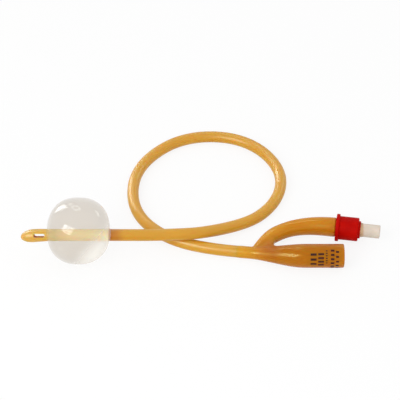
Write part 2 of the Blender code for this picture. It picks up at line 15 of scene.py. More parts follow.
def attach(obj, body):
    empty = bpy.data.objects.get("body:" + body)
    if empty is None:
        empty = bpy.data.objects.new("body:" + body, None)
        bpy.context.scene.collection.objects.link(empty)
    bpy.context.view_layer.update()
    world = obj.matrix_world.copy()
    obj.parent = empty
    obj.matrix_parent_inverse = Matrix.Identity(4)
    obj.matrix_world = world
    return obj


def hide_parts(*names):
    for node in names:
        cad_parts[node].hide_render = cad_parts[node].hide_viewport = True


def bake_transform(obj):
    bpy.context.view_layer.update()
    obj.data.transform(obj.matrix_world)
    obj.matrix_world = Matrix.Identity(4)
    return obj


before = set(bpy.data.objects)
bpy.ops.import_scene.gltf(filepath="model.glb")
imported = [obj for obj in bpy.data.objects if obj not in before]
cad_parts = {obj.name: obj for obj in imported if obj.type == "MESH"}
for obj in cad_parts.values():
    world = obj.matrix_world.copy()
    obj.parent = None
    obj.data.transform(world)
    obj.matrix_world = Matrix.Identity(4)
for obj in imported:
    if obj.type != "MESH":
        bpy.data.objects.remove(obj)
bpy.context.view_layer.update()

MM = 0.001
HAIR = 0.03 * MM

# Camera, at the photograph's viewing angle
VIEW_TARGET = Vector((-0.9, 40.1, 0.0)) * MM
VIEW_ELEVATION = math.radians(42)
VIEW_DISTANCE = 900 * MM
VIEW_WIDTH = 210 * MM
SENSOR_WIDTH = 36

# Shaft: the free hose, from the tip to the hub
SHAFT_RADIUS = 3.0 * MM
SHAFT_POINTS = 260
SHAFT_BEVEL_STEPS = 10
SHAFT_ROUTE = [
    (-0.0752, -0.0023, 0.0146),
    (-0.0629, -0.0023, 0.0146),
    (-0.0528, -0.0023, 0.0146),
    (-0.0453, -0.0022, 0.0145),
    (-0.0363, -0.0013, 0.0136),
    (-0.0269, 0.0001, 0.0123),
    (-0.0149, 0.0020, 0.0109),
    (-0.0033, 0.0048, 0.0092),
    (0.0073, 0.0098, 0.0066),
    (0.0173, 0.0157, 0.0042),
    (0.0275, 0.0224, 0.0032),
    (0.0357, 0.0317, 0.0031),
    (0.0407, 0.0432, 0.0031),
    (0.0416, 0.0555, 0.0031),
    (0.0381, 0.0671, 0.0031),
    (0.0312, 0.0771, 0.0031),
    (0.0216, 0.0843, 0.0031),
    (0.0100, 0.0878, 0.0031),
    (-0.0021, 0.0875, 0.0031),
    (-0.0136, 0.0834, 0.0031),
    (-0.0228, 0.0762, 0.0031),
    (-0.0301, 0.0668, 0.0031),
    (-0.0347, 0.0557, 0.0031),
    (-0.0361, 0.0436, 0.0031),
    (-0.0346, 0.0316, 0.0031),
    (-0.0298, 0.0207, 0.0031),
    (-0.0217, 0.0117, 0.0031),
    (-0.0114, 0.0051, 0.0031),
    (0.0000, 0.0011, 0.0031),
    (0.0119, -0.0014, 0.0031),
    (0.0239, -0.0031, 0.0032),
]


def ease(t):
    """0 to 1 with a level start and end."""
    t = min(max(t, 0.0), 1.0)
    return t * t * (3 - 2 * t)


def between(a, b, t):
    return a + (b - a) * t


def bezier(p0, p1, p2, p3, t):
    s = 1 - t
    return s**3 * p0 + 3 * s * s * t * p1 + 3 * s * t * t * p2 + t**3 * p3


def smooth_curve(points, count):
    """Evenly spaced points on the natural cubic spline through the given points."""
    points = np.array(points, float)
    knots = np.concatenate([[0], np.cumsum(np.linalg.norm(np.diff(points, axis=0), axis=1))])
    step = np.diff(knots)
    last = len(points) - 1
    system = np.eye(last + 1)
    wanted = np.zeros_like(points)
    for i in range(1, last):
        system[i, i - 1 : i + 2] = step[i - 1], 2 * (step[i - 1] + step[i]), step[i]
        ahead = (points[i + 1] - points[i]) / step[i]
        behind = (points[i] - points[i - 1]) / step[i - 1]
        wanted[i] = 6 * (ahead - behind)
    bend = np.linalg.solve(system, wanted)

    def at(u):
        i = min(int(np.searchsorted(knots, u, side="right")) - 1, last - 1)
        a = (knots[i + 1] - u) / step[i]
        b = (u - knots[i]) / step[i]
        curve = (a**3 - a) * bend[i] + (b**3 - b) * bend[i + 1]
        return a * points[i] + b * points[i + 1] + curve * step[i] ** 2 / 6

    return [Vector(at(u)) for u in np.linspace(0, knots[-1], count)]


def srgb(red, green, blue):
    """A colour given as 0 to 255 display values, in Blender's linear values."""
    values = [c / 255 for c in (red, green, blue)]
    linear = [c / 12.92 if c <= 0.04045 else ((c + 0.055) / 1.055) ** 2.4 for c in values]
    return (*linear, 1.0)


# Mesh tools
def ring_around(centre, direction, radius, sides):
    side = Vector((0, 0, 1)).cross(direction).normalized()
    up = direction.cross(side).normalized()
    angles = [2 * math.pi * i / sides for i in range(sides)]
    return [centre + radius * (side * math.cos(a) + up * math.sin(a)) for a in angles]


def loft(bm, rings, closed=False):
    """A skin over rings of equally many points, capped at both ends or closed on itself."""
    loops = [[bm.verts.new(point) for point in ring] for ring in rings]
    pairs = zip(loops, loops[1:] + loops[:1]) if closed else zip(loops, loops[1:])
    for first, second in pairs:
        for i in range(len(first)):
            j = (i + 1) % len(first)
            bm.faces.new((first[i], first[j], second[j], second[i]))
    if not closed:
        bm.faces.new(loops[0][::-1])
        bm.faces.new(loops[-1])


def tube_along(bm, path, radii, sides):
    rings = []
    for i, point in enumerate(path):
        direction = (path[min(i + 1, len(path) - 1)] - path[max(i - 1, 0)]).normalized()
        rings.append(ring_around(point, direction, radii[i], sides))
    loft(bm, rings)


def rounded(corners, steps=5):
    """A profile whose corners, given as (x, radius from the axis, rounding), become arcs."""
    points = []
    for i, (x, r, rounding) in enumerate(corners):
        here = Vector((x, r))
        if rounding == 0:
            points.append(here)
            continue
        before = Vector(corners[i - 1][:2]) - here
        after = Vector(corners[(i + 1) % len(corners)][:2]) - here
        half = before.angle(after) / 2
        reach = rounding / math.tan(half)
        inwards = (before.normalized() + after.normalized()).normalized()
        centre = here + inwards * (rounding / math.sin(half))
        start = here + before.normalized() * reach - centre
        end = here + after.normalized() * reach - centre
        for k in range(steps + 1):
            points.append(centre + start.lerp(end, k / steps).normalized() * rounding)
    return points


def turned(bm, profile, sides):
    """A closed profile of (x, radius) points, spun about the X axis."""
    rings = []
    for x, r in profile:
        angles = [2 * math.pi * i / sides for i in range(sides)]
        rings.append([Vector((x, r * math.cos(a), r * math.sin(a))) for a in angles])
    loft(bm, rings, closed=True)


def mesh_object(name, bm):
    bmesh.ops.recalc_face_normals(bm, faces=bm.faces)
    mesh = bpy.data.meshes.new(name)
    bm.to_mesh(mesh)
    bm.free()
    item = bpy.data.objects.new(name, mesh)
    bpy.context.scene.collection.objects.link(item)
    return item


def cut_away(item, cutter):
    cutter.hide_render = True
    modifier = item.modifiers.new("cut_" + cutter.name, "BOOLEAN")
    modifier.operation = "DIFFERENCE"
    modifier.object = cutter
    modifier.solver = "EXACT"


def melt(item, voxel, passes):
    """Makes one skin of everything in the object so far, and softens its edges."""
    remesh = item.modifiers.new("one_skin", "REMESH")
    remesh.mode = "VOXEL"
    remesh.voxel_size = voxel
    soften = item.modifiers.new("soften", "SMOOTH")
    soften.factor = 0.5
    soften.iterations = passes


def apply_modifiers(item, cutters=()):
    """The object keeps the shape that its modifiers give, and the cutters go."""
    graph = bpy.context.evaluated_depsgraph_get()
    shape = bpy.data.meshes.new_from_object(item.evaluated_get(graph))
    item.modifiers.clear()
    item.data = shape
    for cutter in cutters:
        bpy.data.objects.remove(cutter, do_unlink=True)


def dress(item, material, nodes=(), body="catheter", smooth_angle=35):
    """The piece gets its material and shading, rides on its body and stands for its nodes.

    A piece that is blended between two bodies has no body of its own.
    """
    item.data.materials.clear()
    item.data.materials.append(material)
    if item.type == "MESH":
        item.data.shade_smooth()
        item.data.set_sharp_from_angle(angle=math.radians(smooth_angle))
    if body:
        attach(item, body)
    if nodes:
        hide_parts(*nodes)
    return item


# Material tools
def new_material(name):
    material = bpy.data.materials.new(name)
    material.use_nodes = True
    tree = material.node_tree
    return material, tree, tree.nodes["Principled BSDF"]


def place_on_object(tree):
    """The node output that gives a point's place on its object."""
    return tree.nodes.new("ShaderNodeTexCoord").outputs["Object"]


def noise(tree, scale, detail=3.0):
    node = tree.nodes.new("ShaderNodeTexNoise")
    node.inputs["Scale"].default_value = scale
    node.inputs["Detail"].default_value = detail
    tree.links.new(place_on_object(tree), node.inputs["Vector"])
    return node.outputs["Fac"]


def spread(tree, value, low, high, from_low=0.3, from_high=0.7):
    """A value between low and high that follows another value."""
    node = tree.nodes.new("ShaderNodeMapRange")
    for name, number in (
        ("From Min", from_low),
        ("From Max", from_high),
        ("To Min", low),
        ("To Max", high),
    ):
        node.inputs[name].default_value = number
    tree.links.new(value, node.inputs["Value"])
    return node.outputs["Result"]


def colour_ramp(tree, value, stops):
    node = tree.nodes.new("ShaderNodeValToRGB")
    ramp = node.color_ramp
    ramp.interpolation = "EASE"
    while len(ramp.elements) < len(stops):
        ramp.elements.new(0.5)
    for element, (place, colour) in zip(ramp.elements, stops):
        element.position = place
        element.color = colour
    tree.links.new(value, node.inputs["Fac"])
    return node.outputs["Color"]


def tinted(tree, colour, value, shade):
    """The colour, multiplied towards a shade where the value is high."""
    node = tree.nodes.new("ShaderNodeMix")
    node.data_type = "RGBA"
    node.blend_type = "MULTIPLY"
    tree.links.new(value, node.inputs[0])
    tree.links.new(colour, node.inputs[6])
    node.inputs[7].default_value = shade
    return node.outputs[2]


def bump(tree, shader, value, depth, strength=1.0):
    node = tree.nodes.new("ShaderNodeBump")
    node.inputs["Distance"].default_value = depth
    node.inputs["Strength"].default_value = strength
    tree.links.new(value, node.inputs["Height"])
    tree.links.new(node.outputs["Normal"], shader.inputs["Normal"])


def along(tree, axis, start, end):
    """0 to 1 between two places along an axis."""
    split = tree.nodes.new("ShaderNodeSeparateXYZ")
    tree.links.new(place_on_object(tree), split.inputs["Vector"])
    return spread(tree, split.outputs[axis], 0.0, 1.0, start, end)


def rougher(tree, rough, share, amount):
    """Up to this much more roughness, by a share from 0 to 1."""
    node = tree.nodes.new("ShaderNodeMath")
    node.operation = "MULTIPLY_ADD"
    node.inputs[1].default_value = amount
    tree.links.new(share, node.inputs[0])
    tree.links.new(rough, node.inputs[2])
    return node.outputs["Value"]


# Latex: roughness, index of refraction and tint of the gloss
SHAFT_GLOSS = (0.37, 1.5, (0.84, 1.0, 0.8, 1.0))
HUB_GLOSS = (0.15, 1.36, (0.83, 0.95, 0.4, 1.0))
FORK_MATTNESS = 0.5
LATEX_SCATTERING = 0.9
LATEX_SCATTER_DEPTH = 3.5 * MM
LATEX_SCATTER_COLOUR = (1.0, 0.5, 0.15)
LATEX_CLOUD = (0.97, 0.95, 0.88, 1.0)


def amber_latex(name, start, end, stops, gloss, painted_side_shade=None, painted_crotch_shade=None, lead=None):
    """Dipped latex: its amber follows the wall's thickness along X, with faint cloudy streaks.
    The stops along X may also hold painted light and painted shade.

    An optional side shade is painted shade that darkens one side beyond the neck, an optional
    crotch shade is painted shade that deepens a place between two branches and also dulls it,
    and lead dulls the start of the piece to the gloss of what it grows from.
    """
    roughness, refraction, tint = gloss
    material, tree, shader = new_material(name)
    amber = colour_ramp(tree, along(tree, "X", start, end), stops)
    # Painted shade: darkens one side of the piece beyond the neck.
    if painted_side_shade:
        tone, side_start, side_end, neck_start, neck_end = painted_side_shade
        beside = along(tree, "Y", side_start, side_end)
        beyond = along(tree, "X", neck_start, neck_end)
        both = tree.nodes.new("ShaderNodeMath")
        both.operation = "MULTIPLY"
        tree.links.new(beside, both.inputs[0])
        tree.links.new(beyond, both.inputs[1])
        amber = tinted(tree, amber, both.outputs["Value"], tone)
    rough = spread(tree, noise(tree, 320.0), roughness - 0.05, roughness + 0.06)
    # Painted shade: deepens the colour round the crotch between two branches, which also gets
    # duller.
    if painted_crotch_shade:
        tone, centre, reach = painted_crotch_shade
        away = tree.nodes.new("ShaderNodeVectorMath")
        away.operation = "DISTANCE"
        away.inputs[1].default_value = centre
        tree.links.new(place_on_object(tree), away.inputs[0])
        nearness = spread(tree, away.outputs["Value"], 0.0, 1.0, reach, 0.3 * reach)
        amber = tinted(tree, amber, nearness, tone)
        rough = rougher(tree, rough, nearness, FORK_MATTNESS)
    if lead:
        matt_end, gloss_start, amount = lead
        rough = rougher(tree, rough, along(tree, "X", gloss_start, matt_end), amount)
    cloudy = spread(tree, noise(tree, 70.0, 1.0), 0.0, 1.0, 0.35, 0.75)
    amber = tinted(tree, amber, cloudy, LATEX_CLOUD)
    tree.links.new(amber, shader.inputs["Base Color"])
    tree.links.new(rough, shader.inputs["Roughness"])
    shader.inputs["Subsurface Weight"].default_value = LATEX_SCATTERING
    shader.inputs["Subsurface Radius"].default_value = LATEX_SCATTER_COLOUR
    shader.inputs["Subsurface Scale"].default_value = LATEX_SCATTER_DEPTH
    shader.inputs["IOR"].default_value = refraction
    shader.inputs["Specular Tint"].default_value = tint
    bump(tree, shader, noise(tree, 1500.0), 0.012 * MM, 0.6)
    return material


def towards_pale_side(tree, start, end):
    """0 to 1 between two shares of the radius from the balloon's centre to its pale side."""
    across = tree.nodes.new("ShaderNodeVectorMath")
    across.operation = "DOT_PRODUCT"
    across.inputs[1].default_value = PALE_SIDE
    tree.links.new(place_on_object(tree), across.inputs[0])
    centre = Vector((BALLOON_X, SHAFT_ROUTE[0][1] + BALLOON_SHIFT_Y, BALLOON_RADIUS))
    reaches = [centre.dot(PALE_SIDE) + share * BALLOON_RADIUS for share in (start, end)]
    return spread(tree, across.outputs["Value"], 0.0, 1.0, *reaches)


def clear_membrane():
    """Stretched latex: grey-beige and milky, with painted light that makes it paler low on its +X
    side.
    """
    material, tree, shader = new_material("clear_membrane")
    milk = colour_ramp(
        tree,
        noise(tree, 45.0),
        [(0.3, srgb(188, 173, 150)), (0.7, srgb(196, 181, 158))],
    )
    # Painted light: towards the low +X side the membrane's colour turns near white.
    pale = towards_pale_side(tree, PAINTED_LIGHT_START, PAINTED_LIGHT_END)
    matt = towards_pale_side(tree, MATT_START, MATT_END)
    mixed = tree.nodes.new("ShaderNodeMix")
    mixed.data_type = "RGBA"
    tree.links.new(pale, mixed.inputs[0])
    tree.links.new(milk, mixed.inputs[6])
    mixed.inputs[7].default_value = srgb(255, 250, 238)
    tree.links.new(mixed.outputs[2], shader.inputs["Base Color"])
    rough = spread(tree, noise(tree, 120.0), 0.07, 0.13)
    rough = rougher(tree, rough, matt, PALE_SIDE_MATTNESS)
    tree.links.new(rough, shader.inputs["Roughness"])
    shader.inputs["Alpha"].default_value = 0.34
    shader.inputs["IOR"].default_value = 1.4
    tree.links.new(spread(tree, matt, 0.75, 0.0, 0.0, 1.0), shader.inputs["Coat Weight"])
    shader.inputs["Coat Roughness"].default_value = 0.05
    shader.inputs["Coat IOR"].default_value = 1.5
    shader.inputs["Sheen Weight"].default_value = 0.22
    shader.inputs["Sheen Roughness"].default_value = 0.3
    bump(tree, shader, noise(tree, 60.0), 0.05 * MM, 0.4)
    return material


def moulded_plastic(name, main, shade, roughness, gloss=0.4, painted_collar_shade=None):
    """Injection-moulded plastic with a faint flow pattern and a finely eroded surface."""
    material, tree, shader = new_material(name)
    colour = colour_ramp(tree, noise(tree, 150.0), [(0.35, shade), (0.65, main)])
    # Painted shade: darkens the plastic to tan before a place along X, next to the collar.
    if painted_collar_shade:
        tone, tone_start, tone_end = painted_collar_shade
        colour = tinted(tree, colour, along(tree, "X", tone_end, tone_start), tone)
    tree.links.new(colour, shader.inputs["Base Color"])
    rough = spread(tree, noise(tree, 700.0), roughness - 0.05, roughness + 0.07)
    tree.links.new(rough, shader.inputs["Roughness"])
    shader.inputs["Specular IOR Level"].default_value = gloss
    shader.inputs["Subsurface Weight"].default_value = 0.1
    shader.inputs["Subsurface Scale"].default_value = 1.0 * MM
    bump(tree, shader, noise(tree, 2200.0), 0.01 * MM, 0.5)
    return material


def bright_steel():
    material, tree, shader = new_material("bright_steel")
    colour = colour_ramp(
        tree,
        noise(tree, 500.0),
        [(0.3, srgb(176, 176, 178)), (0.7, srgb(205, 205, 206))],
    )
    tree.links.new(colour, shader.inputs["Base Color"])
    shader.inputs["Metallic"].default_value = 1.0
    rough = spread(tree, noise(tree, 900.0), 0.2, 0.34)
    tree.links.new(rough, shader.inputs["Roughness"])
    return material


def printing_ink():
    """Stamped ink that lies unevenly on the latex."""
    material, tree, shader = new_material("printing_ink")
    colour = colour_ramp(
        tree,
        noise(tree, 900.0),
        [(0.35, srgb(52, 22, 10)), (0.7, srgb(92, 46, 14))],
    )
    tree.links.new(colour, shader.inputs["Base Color"])
    rough = spread(tree, noise(tree, 900.0), 0.5, 0.7)
    tree.links.new(rough, shader.inputs["Roughness"])
    shader.inputs["Specular IOR Level"].default_value = 0.15
    return material


# Shaft
def make_shaft(latex):
    curve = bpy.data.curves.new("catheter_shaft", "CURVE")
    curve.dimensions = "3D"
    curve.bevel_depth = SHAFT_RADIUS
    curve.bevel_resolution = SHAFT_BEVEL_STEPS
    curve.use_fill_caps = True
    points = smooth_curve(SHAFT_ROUTE, SHAFT_POINTS)
    spline = curve.splines.new("POLY")
    spline.points.add(len(points) - 1)
    for spot, point in zip(spline.points, points):
        spot.co = (*point, 1)
    spline.use_smooth = True
    shaft = bpy.data.objects.new("catheter_shaft", curve)
    bpy.context.scene.collection.objects.link(shaft)
    dress(shaft, latex, ["shaft"])
    return points


# Drainage tip
TIP_LENGTH = 15.5 * MM
TIP_NOSE_LENGTH = 6.5 * MM
TIP_BULGE = 0.3 * MM
TIP_DROOP = 0.9 * MM
TIP_DROOP_Y = -0.6
TIP_DROOP_Z = -0.8
TIP_BORE_RADIUS = 1.9 * MM
TIP_BORE_DEPTH = 10.5 * MM
TIP_OVERLAP = 2.2 * MM
EYE_LENGTH = 5.6 * MM
EYE_HEIGHT = 1.9 * MM
EYE_FROM_NOSE = 9.4 * MM
EYE_TILT = math.radians(34)


def tip_skin(sides=64, nose_steps=24):
    """The nose's outer skin, which hangs a little, and a thin sleeve over the shaft's end."""
    largest = SHAFT_RADIUS + TIP_BULGE
    stations = []
    for i in range(1, nose_steps + 1):
        turn = math.pi / 2 * i / nose_steps
        from_nose = TIP_NOSE_LENGTH * (1 - math.cos(turn))
        stations.append((from_nose, largest * math.sin(turn)))
    for share in (0.25, 0.5, 0.75, 1.0):
        radius = between(largest, SHAFT_RADIUS + HAIR, ease(share))
        stations.append((between(TIP_NOSE_LENGTH, TIP_LENGTH, share), radius))
    stations.append((TIP_LENGTH + TIP_OVERLAP, SHAFT_RADIUS + HAIR))
    rings = []
    for from_nose, radius in stations:
        droop = TIP_DROOP * max(0.0, 1 - from_nose / TIP_LENGTH) ** 2
        centre = Vector((from_nose - TIP_LENGTH, TIP_DROOP_Y * droop, TIP_DROOP_Z * droop))
        rings.append(ring_around(centre, Vector((1, 0, 0)), radius, sides))
    bm = bmesh.new()
    loft(bm, rings)
    return bm


def eye_cutter(steps=16):
    """A rounded slot that passes through both sides of the tip."""
    half = EYE_LENGTH / 2 - EYE_HEIGHT / 2
    outline = []
    for side in (1, -1):
        for i in range(steps + 1):
            angle = side * math.pi / 2 - math.pi * i / steps
            x = side * half + EYE_HEIGHT / 2 * math.cos(angle)
            outline.append((x, EYE_HEIGHT / 2 * math.sin(angle)))
    reach = 2 * SHAFT_RADIUS
    bm = bmesh.new()
    loft(bm, [[Vector((x, depth, z)) for x, z in outline] for depth in (-reach, reach)])
    cutter = mesh_object("eye_cutter", bm)
    turn = Matrix.Rotation(-EYE_TILT, 4, "X")
    cutter.data.transform(Matrix.Translation((EYE_FROM_NOSE - TIP_LENGTH, 0, 0)) @ turn)
    return cutter


def tip_bore_cutter(steps=12, sides=48):
    """The tip's channel, with a round end."""
    stations = [(2 * TIP_OVERLAP, TIP_BORE_RADIUS)]
    round_start = TIP_BORE_RADIUS - TIP_BORE_DEPTH
    for i in range(steps):
        turn = math.pi / 2 * i / steps
        x = round_start - TIP_BORE_RADIUS * math.sin(turn)
        stations.append((x, TIP_BORE_RADIUS * math.cos(turn)))
    bm = bmesh.new()
    axis = Vector((1, 0, 0))
    loft(bm, [ring_around(Vector((x, 0, 0)), axis, r, sides) for x, r in stations])
    return mesh_object("tip_bore_cutter", bm)


def make_tip(latex):
    tip = mesh_object("drainage_tip", tip_skin())
    cutters = [tip_bore_cutter(), eye_cutter()]
    for cutter in cutters:
        cut_away(tip, cutter)
    melt(tip, 0.13 * MM, 5)
    apply_modifiers(tip, cutters)
    tip.data.transform(Matrix.Translation(SHAFT_ROUTE[0]))
    dress(tip, latex, ["tip"], smooth_angle=60)


# Balloon
BALLOON_X = -61.7 * MM
BALLOON_RADIUS = 16.8 * MM
BALLOON_HALF_LENGTH = 15.6 * MM
BALLOON_FULLNESS = 2.3
BALLOON_TOP_FULLNESS = 0.1
BALLOON_SHIFT_Y = 0.7 * MM
BALLOON_LEAN = 1.0 * MM
CUFF_LENGTH = 0.4 * MM
CUFF_RADIUS = 3.15 * MM
CUFF_END_RADIUS = 2.9 * MM

# Where painted light makes the membrane pale, and where it turns matt, in shares of the balloon's
# radius
PALE_SIDE = Vector((0.75, -0.44, -0.49))
PAINTED_LIGHT_START = 0.4
PAINTED_LIGHT_END = 0.8
MATT_START = 0.2
MATT_END = 0.75
PALE_SIDE_MATTNESS = 0.45


def balloon_profile(half_length, radius, steps):
    """(x, radius, share of full size) from the -X neck to the +X neck of a full, blunt egg."""
    power = 2 / BALLOON_FULLNESS
    limit = math.acos((CUFF_RADIUS / radius) ** (1 / power))
    found = []
    for i in range(steps + 1):
        turn = limit * (2 * i / steps - 1)
        x = math.copysign(half_length * abs(math.sin(turn)) ** power, turn)
        r = radius * math.cos(turn) ** power
        found.append((x, r, (r - CUFF_RADIUS) / (radius - CUFF_RADIUS)))
    return found


def make_balloon(membrane, sides=160, steps=120):
    """One clear skin, a little longer above the shaft, whose two necks grip it."""
    section = balloon_profile(BALLOON_HALF_LENGTH, BALLOON_RADIUS, steps)
    section.insert(0, (-BALLOON_HALF_LENGTH - CUFF_LENGTH, CUFF_END_RADIUS, 0))
    section.append((BALLOON_HALF_LENGTH + CUFF_LENGTH, CUFF_END_RADIUS, 0))
    shaft_start = Vector(SHAFT_ROUTE[0])
    rise = BALLOON_RADIUS - shaft_start.z
    bm = bmesh.new()
    loops = []
    for x, radius, fullness in section:
        lean = BALLOON_LEAN * x / BALLOON_HALF_LENGTH * (1 - fullness)
        centre = Vector((x, BALLOON_SHIFT_Y * fullness, (rise + lean) * fullness))
        ring = ring_around(centre, Vector((1, 0, 0)), radius, sides)
        for point in ring:
            point.x *= 1 + BALLOON_TOP_FULLNESS * point.z / BALLOON_RADIUS
        loops.append([bm.verts.new(point) for point in ring])
    for first, second in zip(loops, loops[1:]):
        for i in range(sides):
            j = (i + 1) % sides
            bm.faces.new((first[i], first[j], second[j], second[i]))
    balloon = mesh_object("balloon_membrane", bm)
    balloon.data.transform(Matrix.Translation((BALLOON_X, shaft_start.y, shaft_start.z)))
    dress(balloon, membrane, ["balloon"], smooth_angle=80)


# Hub
NECK_WALL_STEP = 0.15 * MM
NECK_GAP = 0.3 * MM
NECK_OVERLAP = 9.0 * MM
SLEEVE_START_RADIUS = SHAFT_RADIUS - 3 * HAIR
SLEEVE_STEEPNESS = 2.5
FLARE_LENGTH = 28.0 * MM
FLARE_REACH = 9.0 * MM
MOUTH_LENGTH = 19.2 * MM
FUNNEL_RADIUS = 6.05 * MM
FUNNEL_WALL = 1.15 * MM
FUNNEL_Y = -8.5 * MM
FUNNEL_BORE_LENGTH = 32.0 * MM
DRAIN_CHANNEL_RADIUS = 1.3 * MM
FUNNEL_LENGTH = FLARE_LENGTH + MOUTH_LENGTH

ARM_BASE_INSET = 2.6 * MM
ARM_BASE_RADIUS = 2.7 * MM
ARM_MIDDLE_RADIUS = 4.0 * MM
ARM_END_RADIUS = 5.0 * MM
ARM_MIDDLE = 0.3
ARM_BASE_ANGLE = math.radians(61.8)
ARM_BASE_REACH = 23.5 * MM
ARM_BASE_LIFT = 1.5 * MM
ARM_END_REACH = 11.8 * MM
ARM_BORE_RADIUS = 2.85 * MM
ARM_BORE_LENGTH = 10.0 * MM

CROTCH_REACH = 18.0 * MM
CROTCH_TURN = 11.0 * MM
CROTCH_THICKNESS_RADIUS = 2.4 * MM
BRANCH_FILL = 0.9

VALVE_PLACE = Vector((68.4, 11.5, 7.0)) * MM
VALVE_YAW = math.radians(-8.9)
VALVE_AXIS = Vector((math.cos(VALVE_YAW), math.sin(VALVE_YAW), 0))


def neck(points):
    """Where the hub's neck starts, just past the shaft's end, and its direction."""
    direction = (points[-1] - points[-3]).normalized()
    return points[-1] + direction * NECK_GAP, direction


def funnel_station(points, x):
    """Centre and radius of the drainage branch, x along it from the neck to the mouth."""
    start, direction = neck(points)
    share = min(max(x / FLARE_LENGTH, 0.0), 1.0)
    radius = between(SHAFT_RADIUS + NECK_WALL_STEP, FUNNEL_RADIUS, ease(share))
    flare_end = Vector((start.x + FLARE_LENGTH, FUNNEL_Y, FUNNEL_RADIUS))
    leave = start + direction * FLARE_REACH
    arrive = flare_end - Vector((FLARE_REACH, 0, 0))
    centre = bezier(start, leave, arrive, flare_end, share)
    neck_lift = start.z - SHAFT_RADIUS - NECK_WALL_STEP
    centre.z = radius + between(neck_lift, 0.0, ease(share))
    centre.x += max(x - FLARE_LENGTH, 0.0)
    return centre, radius


def arm_path(points, steps):
    start, _ = funnel_station(points, ARM_BASE_INSET)
    leave = Vector((math.cos(ARM_BASE_ANGLE), math.sin(ARM_BASE_ANGLE), 0)) * ARM_BASE_REACH
    leave.z = ARM_BASE_LIFT
    handles = (start + leave, VALVE_PLACE - VALVE_AXIS * ARM_END_REACH)
    return [bezier(start, *handles, VALVE_PLACE, i / steps) for i in range(steps + 1)]


def arm_radius(t):
    if t < ARM_MIDDLE:
        return between(ARM_BASE_RADIUS, ARM_MIDDLE_RADIUS, ease(t / ARM_MIDDLE))
    share = (t - ARM_MIDDLE) / (1 - ARM_MIDDLE)
    return between(ARM_MIDDLE_RADIUS, ARM_END_RADIUS, ease(share))


def add_drainage_branch(bm, points, sides=96, steps=60):
    """From a feathered sleeve over the shaft, through the neck and the flare, to the mouth."""
    sleeve = [p for p in points if (p - points[-1]).length < NECK_OVERLAP]
    path = []
    radii = []
    for i, point in enumerate(sleeve[:-1]):
        path.append(point)
        share = ease(min(1.0, SLEEVE_STEEPNESS * i / len(sleeve)))
        radii.append(between(SLEEVE_START_RADIUS, SHAFT_RADIUS + NECK_WALL_STEP, share))
    for i in range(steps + 1):
        centre, radius = funnel_station(points, FUNNEL_LENGTH * i / steps)
        path.append(centre)
        radii.append(radius)
    tube_along(bm, path, radii, sides)


def add_inflation_arm(bm, points, sides=80, steps=60):
    radii = [arm_radius(i / steps) for i in range(steps + 1)]
    tube_along(bm, arm_path(points, steps), radii, sides)


def crotch_path(points, steps):
    """A U from inside the arm, back round the crotch and out inside the drainage branch."""
    start, _ = neck(points)
    arm = arm_path(points, 40)
    far = min(range(1, 40), key=lambda i: abs(arm[i].x - start.x - CROTCH_REACH))
    along_arm = (arm[far + 1] - arm[far - 1]).normalized()
    funnel, _ = funnel_station(points, CROTCH_REACH)
    behind, _ = funnel_station(points, CROTCH_REACH - MM)
    along_funnel = (funnel - behind).normalized()
    handles = (arm[far] - along_arm * CROTCH_TURN, funnel - along_funnel * CROTCH_TURN)
    return [bezier(arm[far], *handles, funnel, i / steps) for i in range(steps + 1)]


def add_crotch(bm, points, sides=64, steps=40):
    ends = (
        BRANCH_FILL * ARM_MIDDLE_RADIUS,
        BRANCH_FILL * funnel_station(points, CROTCH_REACH)[1],
    )
    radii = []
    for i in range(steps + 1):
        from_middle = 2 * i / steps - 1
        end = ends[0] if from_middle < 0 else ends[1]
        radii.append(between(CROTCH_THICKNESS_RADIUS, end, ease(abs(from_middle))))
    tube_along(bm, crotch_path(points, steps), radii, sides)


def add_web(bm, points, stations=16, steps=16):
    """The web behind the crotch: hollow on top and below, thickest inside the branches."""
    start, _ = neck(points)
    arm = arm_path(points, 80)
    edge = crotch_path(points, 2)[1]
    sections = []
    for i in range(stations + 1):
        x = between(2 * ARM_BASE_INSET, edge.x - start.x, i / stations)
        funnel, radius = funnel_station(points, x)
        beside = min(arm, key=lambda point: abs(point.x - funnel.x))
        upper = []
        lower = []
        for k in range(steps + 1):
            middle = funnel.lerp(beside, k / steps)
            from_middle = abs(2 * k / steps - 1)
            height = between(CROTCH_THICKNESS_RADIUS, BRANCH_FILL * radius, from_middle**2)
            upper.append(Vector((funnel.x, middle.y, middle.z + height)))
            lower.append(Vector((funnel.x, middle.y, middle.z - height)))
        sections.append(upper + lower[::-1])
    loft(bm, sections)


def drain_cutter(points, sides=80, steps=60):
    channel = FUNNEL_LENGTH - FUNNEL_BORE_LENGTH
    path = []
    radii = []
    for i in range(steps + 1):
        x = FUNNEL_LENGTH * i / steps
        centre, _ = funnel_station(points, x)
        widening = ease((x - channel) / (FLARE_LENGTH - channel))
        path.append(centre)
        radii.append(between(DRAIN_CHANNEL_RADIUS, FUNNEL_RADIUS - FUNNEL_WALL, widening))
    path.append(path[-1] + Vector((MM, 0, 0)))
    radii.append(radii[-1])
    bm = bmesh.new()
    tube_along(bm, path, radii, sides)
    return mesh_object("drain_cutter", bm)


def arm_cutter():
    bm = bmesh.new()
    path = [VALVE_PLACE + VALVE_AXIS * reach for reach in (-ARM_BORE_LENGTH, MM)]
    tube_along(bm, path, [ARM_BORE_RADIUS] * 2, 64)
    return mesh_object("arm_cutter", bm)


def make_hub(points, latex):
    bm = bmesh.new()
    add_drainage_branch(bm, points)
    add_inflation_arm(bm, points)
    add_crotch(bm, points)
    add_web(bm, points)
    hub = mesh_object("hub_moulding", bm)
    melt(hub, 0.4 * MM, 12)
    cutters = [drain_cutter(points), arm_cutter()]
    for cutter in cutters:
        cut_away(hub, cutter)
    melt(hub, 0.3 * MM, 4)
    apply_modifiers(hub, cutters)
    dress(hub, latex, ["hub"], smooth_angle=80)


